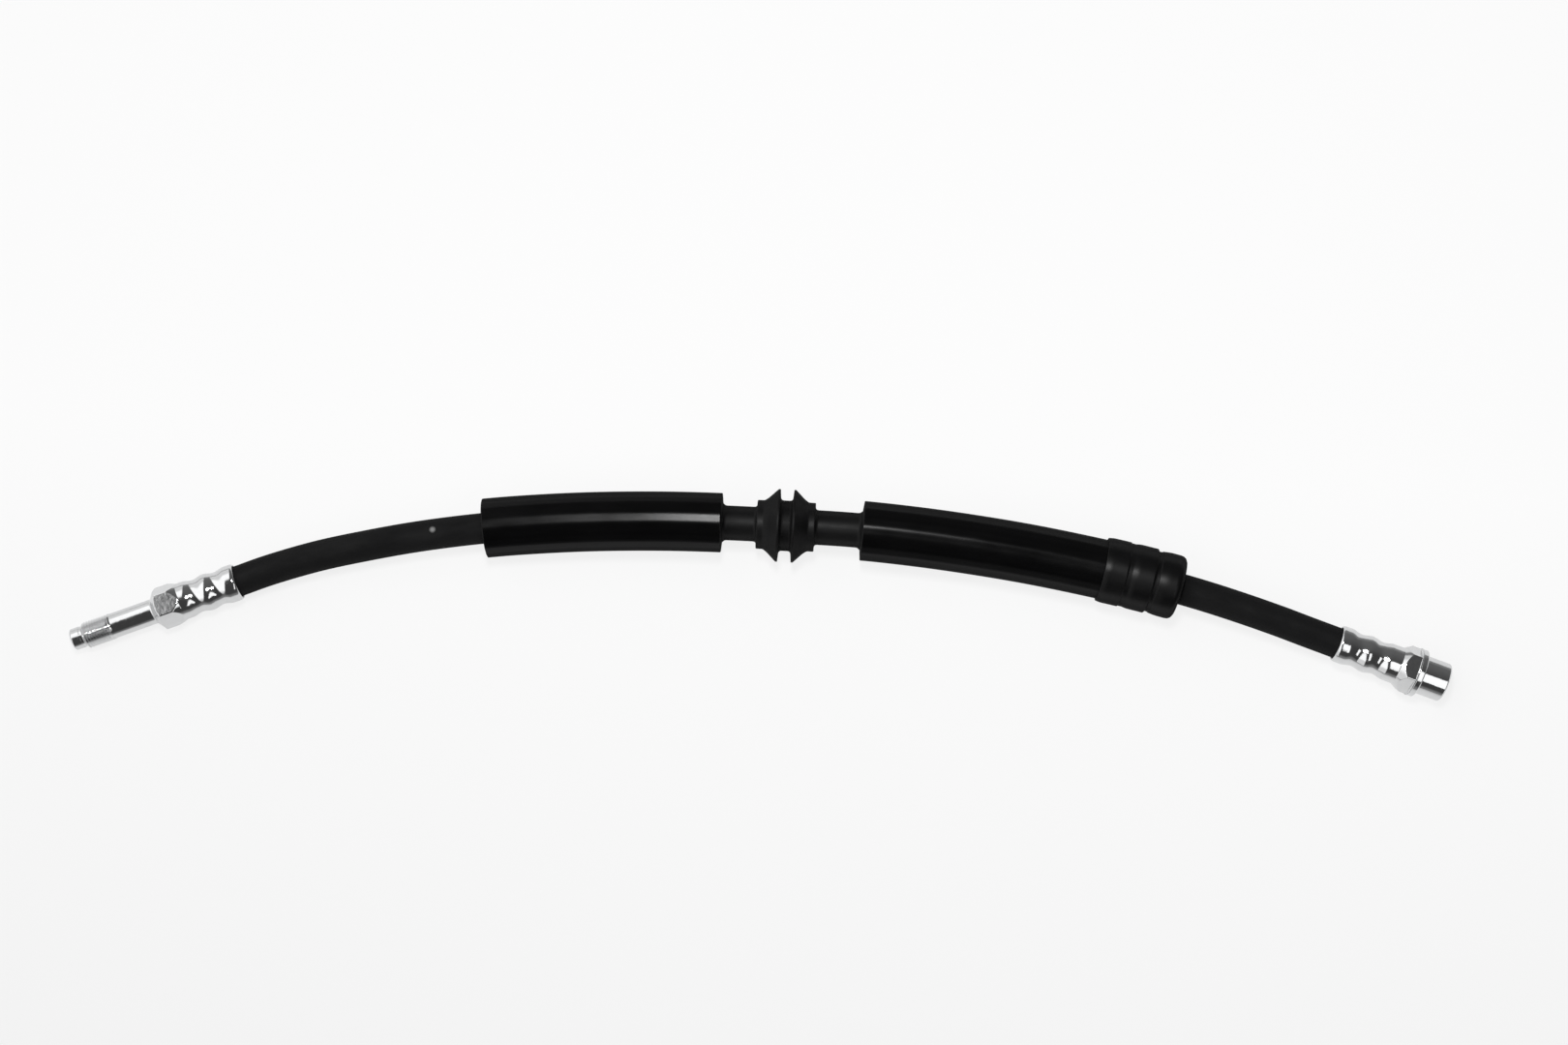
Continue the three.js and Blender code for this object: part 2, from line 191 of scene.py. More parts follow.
class MaleSizes(bpy.types.PropertyGroup):
    """The male fitting, measured outwards from its shell's mouth."""
    flats: length("Across flats", 14.0, "Hexagon across its flats")
    hex_start: length("Hexagon start", 21.8, "Where the hexagon leaves the shell")
    back_cone: length("Back cone", 4.0, "Length of the cone towards the shell")
    front_cone: length("Front cone", 2.8, "Length of the cone towards the stem")
    hex_end: length("Hexagon end", 32.5, "Where the stem starts")
    shank: length("Shank radius", 4.65, "Radius of the plain shank")
    shank_length: length("Shank length", 16.3, "Length of the plain shank")
    thread: length("Thread radius", 4.9, "Radius over the thread")
    thread_length: length("Thread length", 10.8, "Length of the thread")
    nose_groove: length("Nose groove radius", 3.9, "Radius of the groove behind the nose")
    groove_length: length("Nose groove length", 1.0, "Length of that groove")
    nose: length("Nose radius", 4.05, "Radius of the nose")
    nose_length: length("Nose length", 3.5, "Length of the nose")
    nose_chamfer: length("Nose chamfer", 0.5, "Chamfer of the nose")


class FemaleSizes(bpy.types.PropertyGroup):
    """The female fitting, measured outwards from its shell's mouth."""
    shell_end: length("Shell end", 23.5, "Where the hexagon starts")
    body: length("Body radius", 6.95, "Radius behind the last crimp")
    flats: length("Across flats", 15.4, "Hexagon across its flats")
    cone: length("Cone", 3.6, "Length of the cone from the body to the hexagon")
    hex_end: length("Hexagon end", 29.8, "Where the flange starts")
    flange: length("Flange radius", 8.95, "Radius of the flange")
    flange_length: length("Flange thickness", 2.4, "Thickness of the flange")
    barrel: length("Barrel radius", 7.2, "Radius of the barrel")
    barrel_length: length("Barrel length", 9.6, "Length of the barrel")
    socket: length("Socket radius", 4.5, "Radius over the socket's thread crests")
    socket_depth: length("Socket depth", 12.6, "Depth of the threaded socket")
    countersink: length("Countersink", 0.7, "Countersink of the socket's mouth")


class ThreadSizes(bpy.types.PropertyGroup):
    """The fine thread on the stem and in the socket."""
    pitch: length("Pitch", 1.0, "Distance between two turns")
    depth: length("Depth", 0.55, "Depth of the thread")


class FinishSettings(bpy.types.PropertyGroup):
    """Colours and roughness of the finishes."""
    plating: colour("Plating", (0.7, 0.705, 0.71), "Bright plated steel")
    hose: colour("Hose rubber", (0.0026, 0.0026, 0.0028), "Matte rubber of the hose")
    speck: colour("Speck", (0.22, 0.22, 0.22), "Pale speck on the bare hose")
    sleeve: colour("Sleeve rubber", (0.0012, 0.0012, 0.0013), "Glossier rubber of the sleeves")
    moulded: colour("Moulded rubber", (0.0014, 0.0014, 0.0015), "Rubber of grommet and cap")
    plating_roughness: share("Plating roughness", 0.09, "Roughness of the plating")
    hose_roughness: share("Hose roughness", 0.78, "Roughness of the hose")
    sleeve_roughness: share("Sleeve roughness", 0.2, "Roughness of the sleeves")
    grommet_roughness: share("Grommet roughness", 0.5, "Roughness of the grommet")
    cap_roughness: share("Cap roughness", 0.36, "Roughness of the cap")


class StageSettings(bpy.types.PropertyGroup):
    """Camera, floor and light."""
    aim: FloatVectorProperty(
        name="Aim", description="Point that the camera looks at",
        default=(0.0068, 0.02475, 0.01), subtype="XYZ", unit="LENGTH", precision=5)
    distance: length("Distance", 964.3, "From the camera to that point")
    azimuth: rotation("Azimuth", 3.17, "Turn of the view about the vertical")
    elevation: rotation("Elevation", 80, "Height of the camera above the horizon")
    lens: FloatProperty(name="Lens", description="Focal length in mm", default=60.0, min=1.0)
    floor: colour("Floor", (0.975, 0.975, 0.975), "Colour of the floor behind the hose")
    # The floor in front is greyer than behind: painted shade, darker towards the front.
    shaded_floor_front: colour("Floor in front", (0.9, 0.9, 0.9), "Colour of the floor in front")
    floor_size: length("Floor size", 40000.0, "Width of the floor")


class BrakeHoseSettings(bpy.types.PropertyGroup):
    """All settings of the brake hose."""
    hose: PointerProperty(type=HoseSizes)
    sleeve: PointerProperty(type=SleeveSizes)
    grommet: PointerProperty(type=GrommetSizes)
    cap: PointerProperty(type=CapSizes)
    shell: PointerProperty(type=ShellSizes)
    male: PointerProperty(type=MaleSizes)
    female: PointerProperty(type=FemaleSizes)
    thread: PointerProperty(type=ThreadSizes)
    finish: PointerProperty(type=FinishSettings)
    stage: PointerProperty(type=StageSettings)


# The route

def smooth_route(points):
    """A centripetal Catmull-Rom curve through the points.

    Each span is a cubic whose end slopes come from its four nearest points, weighted by the
    square roots of their distances, with one more point mirrored past each end of the list.
    """
    p = np.array(points, float)
    p = np.vstack([2 * p[0] - p[1], p, 2 * p[-1] - p[-2]])
    p0, p1, p2, p3 = p[:-3], p[1:-2], p[2:-1], p[3:]
    d0, d1, d2 = (
        np.sqrt(np.linalg.norm(b - a, axis=1, keepdims=True))
        for a, b in ((p0, p1), (p1, p2), (p2, p3))
    )
    slope_1 = ((p1 - p0) / d0 - (p2 - p0) / (d0 + d1) + (p2 - p1) / d1) * d1
    slope_2 = ((p2 - p1) / d1 - (p3 - p1) / (d1 + d2) + (p3 - p2) / d2) * d1
    t = np.linspace(0, 1, ROUTE_STEPS, endpoint=False)[None, :, None]
    square = (-3 * p1 + 3 * p2 - 2 * slope_1 - slope_2)[:, None]
    cube = (2 * p1 - 2 * p2 + slope_1 + slope_2)[:, None]
    spans = p1[:, None] + slope_1[:, None] * t + square * t**2 + cube * t**3
    return np.vstack([spans.reshape(-1, 3), p2[-1]])


ROUTE = smooth_route(ROUTE_POINTS)
ROUTE_ALONG = np.concatenate([[0], np.cumsum(np.linalg.norm(np.diff(ROUTE, axis=0), axis=1))])
ROUTE_SLOPE = np.gradient(ROUTE, ROUTE_ALONG, axis=0)
HOSE_LENGTH = float(ROUTE_ALONG[-1])


def interpolated(table, along):
    """Rows of a table over the route's distances, at the given distances."""
    return np.stack([np.interp(along, ROUTE_ALONG, table[:, k]) for k in range(3)], axis=-1)


def on_route(along, angle, radius):
    """The points at a distance along the route, an angle from the top and a radius.

    The centreline's point, plus the radius times up's cosine and right's sine. Past its ends the
    route goes straight on.
    """
    inside = np.clip(along, 0, HOSE_LENGTH)
    forward = interpolated(ROUTE_SLOPE, inside)
    forward /= np.linalg.norm(forward, axis=-1, keepdims=True)
    right = np.cross(forward, (0.0, 0.0, 1.0))
    right /= np.linalg.norm(right, axis=-1, keepdims=True)
    up = np.cross(right, forward)
    centre = interpolated(ROUTE, inside) + forward * (along - inside)[..., None]
    return centre + radius[..., None] * (
        up * np.cos(angle)[..., None] + right * np.sin(angle)[..., None])


def route_point(along, angle, radius):
    """The one point at a distance along the route, an angle from the top and a radius."""
    return on_route(np.array([along]), np.array([angle]), np.array([radius]))[0]


# Outlines

CURVE_POINTS = 5  # points on a corner's curve
HOLD = 0.12 * MM  # from a long side's end to the point that keeps its shading flat
FINE = 0.05 * MM  # setback of a corner that looks quite sharp
SHARP = 0.1 * MM  # setback of a moulded or bored corner that looks sharp
EDGE = 0.12 * MM  # setback of a turned edge
TOLERANCE = 0.001 * MM  # room for rounding where points are compared with a limit


def rounded(corners, step, closed=True):
    """An outline whose corners are cut by parabolas, from rows of along, radius and setback.

    A corner's curve starts and ends its setback away from the corner, and is the quadratic
    through both with the corner as its handle. Long sides get points in between, and one close
    to each end, so that smooth shading stays flat on them. An open outline keeps its first row's
    point and stops short of its last row's.
    """
    rows = np.array(corners, float)
    if closed:
        rows = np.vstack([rows[-1:], rows, rows[:1]])
    point, setback = rows[:, :2], rows[1:-1, 2:]
    to_last, to_next = point[:-2] - point[1:-1], point[2:] - point[1:-1]
    last_length = np.linalg.norm(to_last, axis=1, keepdims=True)
    next_length = np.linalg.norm(to_next, axis=1, keepdims=True)
    cut = np.minimum(setback, 0.45 * np.minimum(last_length, next_length))
    start = (point[1:-1] + to_last / last_length * cut)[:, None]
    end = (point[1:-1] + to_next / next_length * cut)[:, None]
    t = np.linspace(0, 1, CURVE_POINTS)[None, :, None]
    curves = list((1 - t) ** 2 * start + 2 * t * (1 - t) * point[1:-1, None] + t**2 * end)
    if closed:
        following = curves[1:] + curves[:1]
    else:
        curves = [point[:1], *curves]
        following = [*curves[1:], point[-1:]]
    return np.vstack([
        np.vstack([curve, side_points(curve[-1], after[0], step)])
        for curve, after in zip(curves, following)
    ])


def side_points(start, end, step):
    """Points between two ends of a straight side, without the ends."""
    size = np.linalg.norm(end - start)
    if size < 3 * HOLD:
        return np.empty((0, 2))
    inner = np.linspace(HOLD, size - HOLD, max(2, math.ceil(size / step) + 1))
    return start + (end - start) * (inner / size)[:, None]


def stretch(start, end, step):
    """Distances from start to end, about a step apart."""
    return np.linspace(start, end, max(2, math.ceil(abs(end - start) / step) + 1))


def at_radius(along, radius):
    """Outline points at these distances, at one radius or at one for each of them."""
    return np.column_stack([along, np.broadcast_to(radius, len(along))])


def smoothstep(x, low, high):
    """0 below low, 1 above high, and 3t^2 - 2t^3 between them."""
    t = np.clip((x - low) / (high - low), 0, 1)
    return t * t * (3 - 2 * t)


def shell_outside(depth, shell, hose, plain):
    """A crimped shell's outside radius at a depth from its mouth.

    The plain radius, blended into the lip's at the mouth, less a raised cosine at each crimp.
    """
    lip = hose.radius + hose.gap + shell.wall
    radius = plain + (lip - plain) * (1 - smoothstep(depth, shell.lip, shell.lip + shell.lip_blend))
    for crimp in (shell.crimp_1, shell.crimp_2):
        offset = np.clip(np.abs(depth - crimp) / shell.half_width, 0, 1)
        radius = radius - shell.depth * (0.5 + 0.5 * np.cos(math.pi * offset))
    return radius


def thread_dip(along, angle, start, end, thread):
    """How far a thread's flank lies below its crest: a helix of rounded triangles.

    The phase is the distance over the pitch less the angle over a full turn, and the dip is
    half of 1 less its cosine, to the power of 0.8. The depth grows from nothing over one pitch
    at each end.
    """
    phase = along / thread.pitch - angle / (2 * math.pi)
    wave = 0.5 - 0.5 * np.cos(2 * math.pi * phase)
    fade = smoothstep(along, start, start + thread.pitch) * (
        1 - smoothstep(along, end - thread.pitch, end))
    return thread.depth * wave**0.8 * fade


# Meshes

SAME_POINT = 0.0001 * MM  # points nearer than this to each other are one


def carried_round(name, outline, columns, shape=None):
    """A closed outline carried round the route as one closed mesh of quads.

    Row v, column u of the grid is the outline's point v, at half a turn plus u / columns turns
    from the top. shape, if given, turns the grids of distance, angle and radius into the radius
    wanted there. The UV map holds metres: the arc at the largest radius, and the length along
    the outline. Its seam runs along the bottom.
    """
    following = np.roll(outline, -1, axis=0)
    outline = outline[np.linalg.norm(following - outline, axis=1) > SAME_POINT]
    following = np.roll(outline, -1, axis=0)
    if np.sum(outline[:, 0] * following[:, 1] - following[:, 0] * outline[:, 1]) > 0:
        outline = outline[::-1]
    rows = len(outline)
    turn = np.arange(columns + 1) * 2 * math.pi / columns
    angle, along = np.meshgrid(math.pi + turn[:-1], outline[:, 0])
    radius = np.broadcast_to(outline[:, 1:], along.shape)
    if shape is not None:
        radius = shape(along, angle, radius)
    points = on_route(along, angle, radius).reshape(-1, 3)

    v, u = np.meshgrid(np.arange(rows), np.arange(columns), indexing="ij")
    v_next, u_next = (v + 1) % rows, (u + 1) % columns
    quads = np.stack([
        v * columns + u, v * columns + u_next, v_next * columns + u_next, v_next * columns + u,
    ], axis=-1)

    closed = np.vstack([outline, outline[:1]])
    distance = np.concatenate([[0], np.cumsum(np.linalg.norm(np.diff(closed, axis=0), axis=1))])
    arc = turn * outline[:, 1].max()
    uv = np.stack([
        np.stack([arc[u], arc[u + 1], arc[u + 1], arc[u]], axis=-1),
        np.stack([distance[v], distance[v], distance[v + 1], distance[v + 1]], axis=-1),
    ], axis=-1)
    return mesh_object(name, points, quads.reshape(-1, 4), uv.reshape(-1, 2))


def mesh_object(name, points, quads, uv):
    """A smooth-shaded object at the origin from arrays of points, quads and corner UVs."""
    mesh = bpy.data.meshes.new(name)
    mesh.vertices.add(len(points))
    mesh.vertices.foreach_set("co", points.astype(np.float32).ravel())
    mesh.loops.add(quads.size)
    mesh.loops.foreach_set("vertex_index", quads.astype(np.int32).ravel())
    mesh.polygons.add(len(quads))
    mesh.polygons.foreach_set("loop_start", np.arange(len(quads), dtype=np.int32) * 4)
    mesh.update(calc_edges=True)
    mesh.polygons.foreach_set("use_smooth", np.ones(len(quads), dtype=bool))
    mesh.uv_layers.new(name="Surface").data.foreach_set("uv", uv.astype(np.float32).ravel())
    mesh.update()
    obj = bpy.data.objects.new(name, mesh)
    bpy.context.scene.collection.objects.link(obj)
    return obj


# Materials

def new_material(name):
    """A material with nodes, and its shader."""
    material = bpy.data.materials.new(name)
    material.use_nodes = True
    return material, material.node_tree.nodes["Principled BSDF"]


def feed(tree, socket, value):
    """Gives a socket another node's output, or a number or colour of its own."""
    if isinstance(value, bpy.types.NodeSocket):
        tree.links.new(value, socket)
    elif socket.type == "RGBA":
        socket.default_value = (*value, 1)
    else:
        socket.default_value = value


def grey(level):
    """A grey, or a white above 1."""
    return (level, level, level)


def scaled(colour_values, factor):
    """A colour times a factor."""
    return tuple(factor * channel for channel in colour_values)


def position(tree, output):
    """X, Y and Z of a texture coordinate."""
    place = tree.nodes.new("ShaderNodeTexCoord")
    parts = tree.nodes.new("ShaderNodeSeparateXYZ")
    tree.links.new(place.outputs[output], parts.inputs["Vector"])
    return parts.outputs


def calculated(tree, operation, *values):
    """A math node's result, from numbers and other nodes' outputs."""
    node = tree.nodes.new("ShaderNodeMath")
    node.operation = operation
    for socket, value in zip(node.inputs, values):
        feed(tree, socket, value)
    return node.outputs["Value"]


def surface_noise(tree, scale, detail):
    """Noise on the piece's own UV map, stretched by a scale for each direction, per metre."""
    place = tree.nodes.new("ShaderNodeUVMap")
    place.uv_map = "Surface"
    mapping = tree.nodes.new("ShaderNodeMapping")
    mapping.inputs["Scale"].default_value = (scale[0], scale[1], 1)
    noise = tree.nodes.new("ShaderNodeTexNoise")
    noise.inputs["Scale"].default_value = 1.0
    noise.inputs["Detail"].default_value = detail
    noise.inputs["Roughness"].default_value = 0.55
    tree.links.new(place.outputs["UV"], mapping.inputs["Vector"])
    tree.links.new(mapping.outputs["Vector"], noise.inputs["Vector"])
    return noise.outputs["Fac"]


def ranged(tree, value, start, end, low=0.0, high=1.0):
    """A value's range from start to end, mapped to the range from low to high."""
    node = tree.nodes.new("ShaderNodeMapRange")
    sockets = ("Value", "From Min", "From Max", "To Min", "To Max")
    for socket, given in zip(sockets, (value, start, end, low, high)):
        feed(tree, node.inputs[socket], given)
    return node.outputs["Result"]


def spread_over(tree, noise, low, high):
    """A noise's middle range, where most of its values lie, spread from low to high."""
    return ranged(tree, noise, 0.3, 0.7, low, high)


def mixed(tree, factor, first, second, kind="RGBA"):
    """A colour between two by a factor, or a number where the kind is FLOAT."""
    node = tree.nodes.new("ShaderNodeMix")
    node.data_type = kind
    for socket, value in zip(("Factor", "A", "B"), (factor, first, second)):
        feed(tree, node.inputs[socket], value)
    return node.outputs["Result"]


def bumped(tree, shader, heights):
    """Bumps on a shader, from pairs of a height factor and a depth in metres."""
    normal = None
    for factor, depth in heights:
        bump = tree.nodes.new("ShaderNodeBump")
        bump.inputs["Distance"].default_value = depth
        tree.links.new(factor, bump.inputs["Height"])
        if normal is not None:
            tree.links.new(normal, bump.inputs["Normal"])
        normal = bump.outputs["Normal"]
    tree.links.new(normal, shader.inputs["Normal"])


def rubber(name, base, roughness, streaks, streak_depth, grain_depth, specular):
    """Black rubber: lengthwise extrusion streaks, a fine grain, and edges duller than its face."""
    material, shader = new_material(name)
    tree = material.node_tree
    lines = surface_noise(tree, scale=(streaks, 12), detail=3)
    grain = surface_noise(tree, scale=(5200, 5200), detail=4)
    clouds = surface_noise(tree, scale=(160, 60), detail=3)
    lighter = scaled(base, factor=1.7)
    feed(tree, shader.inputs["Base Color"], mixed(tree, clouds, base, lighter))
    slant = tree.nodes.new("ShaderNodeLayerWeight")
    slant.inputs["Blend"].default_value = 0.5
    smoother, rougher, edge_roughness = 0.85 * roughness, min(1.0, 1.2 * roughness), 0.9
    uneven = spread_over(tree, clouds, smoother, rougher)
    edges = ranged(tree, slant.outputs["Facing"], start=0.25, end=0.6)
    feed(tree, shader.inputs["Roughness"], mixed(tree, edges, uneven, edge_roughness, "FLOAT"))
    shader.inputs["Specular IOR Level"].default_value = specular
    bumped(tree, shader, [(lines, streak_depth), (grain, grain_depth)])
    return material


def speckled(material, place, radius, shade):
    """Adds a pale speck, which fades out at a radius round a place, to a material's colour."""
    tree = material.node_tree
    base = tree.nodes["Principled BSDF"].inputs["Base Color"]
    where = tree.nodes.new("ShaderNodeTexCoord")
    away = tree.nodes.new("ShaderNodeVectorMath")
    away.operation = "DISTANCE"
    away.inputs[1].default_value = place
    tree.links.new(where.outputs["Object"], away.inputs[0])
    full = 0.3 * radius
    near = ranged(tree, away.outputs["Value"], full, radius, low=1.0, high=0.0)
    plain = base.links[0].from_socket
    feed(tree, base, mixed(tree, near, plain, shade))


def plated_steel(name, base, roughness):
    """Bright plated steel: fine turning marks round the axis and a slightly uneven gloss."""
    material, shader = new_material(name)
    tree = material.node_tree
    marks = surface_noise(tree, scale=(40, 9000), detail=2)
    clouds = surface_noise(tree, scale=(420, 420), detail=4)
    darker = scaled(base, factor=0.86)
    feed(tree, shader.inputs["Base Color"], mixed(tree, clouds, darker, base))
    smoother, rougher = 0.7 * roughness, 1.4 * roughness
    feed(tree, shader.inputs["Roughness"], spread_over(tree, clouds, smoother, rougher))
    shader.inputs["Metallic"].default_value = 1.0
    mark_depth, cloud_depth = 0.004 * MM, 0.02 * MM
    bumped(tree, shader, [(marks, mark_depth), (clouds, cloud_depth)])
    return material


def dressed(obj, material, slot, *nodes):
    """Gives a piece its material and its body, and hides the nodes that it stands for. The slot is
    not used.
    """
    obj.data.materials.append(material)
    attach(obj, ROOT_BODY)
    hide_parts(*nodes)


def plating(settings):
    """The bright plating of both fittings, made once."""
    name, finish = "plated_steel_turned", settings.finish
    found = bpy.data.materials.get(name)
    return found or plated_steel(name, finish.plating, finish.plating_roughness)


def moulded_rubber(settings, name, roughness):
    """The rubber of the grommet or the cap, which differ in gloss."""
    return rubber(
        name, settings.finish.moulded, roughness, streaks=300, streak_depth=0.004 * MM,
        grain_depth=0.004 * MM, specular=0.18)


# Places and shared shapes

THREAD_ROWS = 12  # points of an outline along each turn of a thread
RIB_COLUMNS = 12  # columns of a sleeve's mesh on each rib
LIP_POINTS = 12  # points on a quarter turn round a shell's lip
DRILL_HALF_ANGLE = math.radians(59)


def stations(settings):
    """Distances along the route at which the pieces on the hose start and end."""
    hose, sleeve, grommet, cap = settings.hose, settings.sleeve, settings.grommet, settings.cap
    left_sleeve = hose.in_shell + hose.bare
    left_end = left_sleeve + sleeve.left_length
    grommet_start = left_end + hose.left_neck
    right_sleeve = grommet_start + grommet_length(grommet) + hose.right_neck
    cap_start = right_sleeve + sleeve.right_shown
    return {
        "left_sleeve": left_sleeve,
        "left_end": left_end,
        "grommet": grommet_start,
        "right_sleeve": right_sleeve,
        "cap": cap_start,
        "right_end": cap_start + cap.sleeve_depth,
    }


def grommet_length(grommet):
    """From one hub's outer face to the other's."""
    return 2 * (grommet.hub_length + grommet.wing_length) + grommet.groove


def shell_surface(settings, end, plain):
    """The outline of a shell's outside, from its rounded lip to just before a depth."""
    shell = settings.shell
    depth = stretch(shell.lip_round, end, step=0.35 * MM)[:-1]
    return at_radius(depth, shell_outside(depth, shell, settings.hose, plain(depth)))


def hexagon_corner(flats, hose):
    """A radius just past a hexagon's corners, for the outline that the hexagon then cuts."""
    return flats / math.sqrt(3) + hose.gap


def hexagon(flats, angle):
    """A hexagon's radius at an angle from a flat's middle.

    Half the width across flats, over the cosine of the angle to the nearest flat's middle.
    """
    sixth = math.pi / 3
    return flats / 2 / np.cos((angle + sixth / 2) % sixth - sixth / 2)


def fitting_room(settings):
    """The outline of a fitting's room: insert seat, cavity for the hose, and mouth.

    It goes from the fluid bore to the mouth and round the lip, a quarter of an ellipse.
    """
    shell, hose = settings.shell, settings.hose

    def wall(depth):
        return shell_outside(depth, shell, hose, shell.radius) - shell.wall

    near_bottom, near_mouth = shell.cavity - 0.4 * MM, 0.3 * MM
    seat_end = shell.cavity + shell.seat_depth
    seat = rounded([
        (seat_end, shell.bore, 0),
        (seat_end, shell.seat, FINE),
        (shell.cavity, shell.seat, SHARP),
        (shell.cavity, wall(shell.cavity), SHARP),
        (near_bottom, wall(near_bottom), 0),
    ], step=1.0 * MM, closed=False)
    depth = stretch(near_bottom, near_mouth, step=0.5 * MM)
    inner_edge = [(0.08 * MM, wall(0) + 0.04 * MM)]
    flat = 0.25 * MM  # width of the mouth's flat face
    turn = np.linspace(0, math.pi / 2, LIP_POINTS)[:-1]
    lip = at_radius(
        shell.lip_round * (1 - np.cos(turn)), wall(0) + flat + (shell.wall - flat) * np.sin(turn))
    return np.vstack([seat, at_radius(depth, wall(depth)), inner_edge, lip])


# Stage

# A compact lamp near the camera and a box on the right: name, place, width, depth and watts
LAMPS = (
    ("spot_lamp", (-0.035, 0.13, 1.0), 0.105, 0.2, 5.0),
    ("box_lamp", (0.43, -0.6, 1.0), 0.36, 1.04, 1.75),
)


class BRAKEHOSE_OT_stage(bpy.types.Operator):
    """Camera, floor, world and lamps"""
    bl_idname = "brake_hose.stage"
    bl_label = "Stage"

    def execute(self, context):
        stage = context.scene.brake_hose.stage
        context.scene.view_settings.view_transform = "Standard"
        self.camera(context, stage)
        self.floor(context, stage)
        self.world(context, stage)
        for lamp in LAMPS:
            self.lamp(context, *lamp)
        return {"FINISHED"}

    def camera(self, context, stage):
        turn = Matrix.Rotation(stage.azimuth, 3, "Z")
        away = turn @ Vector((0, -math.cos(stage.elevation), math.sin(stage.elevation)))
        data = bpy.data.cameras.new("camera")
        data.lens = stage.lens
        data.sensor_width = 36.0
        data.clip_start = 0.01
        camera = bpy.data.objects.new("camera", data)
        camera.location = Vector(stage.aim) + away * stage.distance
        across = turn @ Vector((1, 0, 0))
        above = away.cross(across)
        camera.rotation_euler = Matrix((across, above, away)).transposed().to_euler()
        context.scene.collection.objects.link(camera)
        context.scene.camera = camera

    def floor(self, context, stage):
        """A matte pale floor that glows a little, with painted shade in front, and a painted darker
        reflection: reflections see it darker further off.
        """
        half = stage.floor_size / 2
        points = np.array([(-half, -half, 0), (half, -half, 0), (half, half, 0), (-half, half, 0)])
        floor = mesh_object("floor", points, np.array([[0, 1, 2, 3]]), points[:, :2])
        material, shader = new_material("floor")
        tree = material.node_tree
        y = position(tree, "Object")["Y"]
        # Darker towards the front: painted shade, from the front floor's grey to the floor's white
        # behind.
        behind = ranged(tree, y, start=-0.2, end=0.05)
        tint = mixed(tree, behind, stage.shaded_floor_front, stage.floor)
        feed(tree, shader.inputs["Base Color"], tint)
        shader.inputs["Roughness"].default_value = 0.9
        shader.inputs["Specular IOR Level"].default_value = 0.0
        lit = self.blend(
            tree, self.seen(tree, by_camera=0.85, by_gloss=0.3), shader.outputs["BSDF"],
            self.glow(tree, tint))
        # Painted darker reflection: for glossy rays only, the floor fades towards black from 45 mm
        # to 250 mm off the middle, up to 0.68 of the way.
        off_middle = calculated(tree, "ABSOLUTE", y)
        far = ranged(tree, off_middle, start=0.045, end=0.25, high=0.68)
        reflected = self.seen(tree, by_camera=0.0, by_gloss=1.0)
        surface = self.blend(
            tree, calculated(tree, "MULTIPLY", far, reflected), lit, self.glow(tree, grey(0.0)))
        feed(tree, tree.nodes["Material Output"].inputs["Surface"], surface)
        floor.data.materials.append(material)

    def glow(self, tree, tint):
        """An emission of a colour."""
        node = tree.nodes.new("ShaderNodeEmission")
        feed(tree, node.inputs["Color"], tint)
        return node.outputs["Emission"]

    def blend(self, tree, factor, first, second):
        """A shader between two, by a factor."""
        mix = tree.nodes.new("ShaderNodeMixShader")
        for socket, value in zip(mix.inputs, (factor, first, second)):
            feed(tree, socket, value)
        return mix.outputs["Shader"]

    def seen(self, tree, by_camera, by_gloss):
        """One amount for what the camera sees, another for a reflection, none for other rays."""
        path = tree.nodes.new("ShaderNodeLightPath")
        camera = calculated(tree, "MULTIPLY", path.outputs["Is Camera Ray"], by_camera)
        gloss = calculated(tree, "MULTIPLY", path.outputs["Is Glossy Ray"], by_gloss)
        return calculated(tree, "MAXIMUM", camera, gloss)

    def world(self, context, stage):
        """A dim room, lighter behind the hose and near the horizon, with a white wall on the left.

        The wall's upper part is the brightest, as a window's light falls on it. The camera sees
        the front floor's colour instead.
        """
        world = bpy.data.worlds.new("world")
        world.use_nodes = True
        tree = world.node_tree
        place = position(tree, "Generated")
        behind = ranged(tree, place["Y"], start=-0.2, end=0.9)
        low = ranged(tree, place["Z"], start=0.3, end=0.0)
        high = ranged(tree, place["Z"], start=0.45, end=0.6)
        left = ranged(tree, place["X"], start=-0.305, end=-0.335)
        front_room, back_room, horizon = grey(0.06), grey(0.16), grey(0.3)
        low_wall, high_wall = grey(0.92), grey(1.5)
        room = mixed(tree, behind, front_room, back_room)
        room = mixed(tree, low, room, horizon)
        room = mixed(tree, left, room, mixed(tree, high, low_wall, high_wall))
        path = tree.nodes.new("ShaderNodeLightPath")
        # The camera sees the front floor's grey, which holds painted shade, as the background.
        tint = mixed(tree, path.outputs["Is Camera Ray"], room, stage.shaded_floor_front)
        background = tree.nodes["Background"]
        feed(tree, background.inputs["Color"], tint)
        background.inputs["Strength"].default_value = 1.0
        context.scene.world = world

    def lamp(self, context, name, place, width, depth, watts):
        """A rectangular lamp that faces straight down."""
        data = bpy.data.lights.new(name, "AREA")
        data.shape = "RECTANGLE"
        data.size = width
        data.size_y = depth
        data.energy = watts
        lamp = bpy.data.objects.new(name, data)
        lamp.location = place
        context.scene.collection.objects.link(lamp)


# Pieces

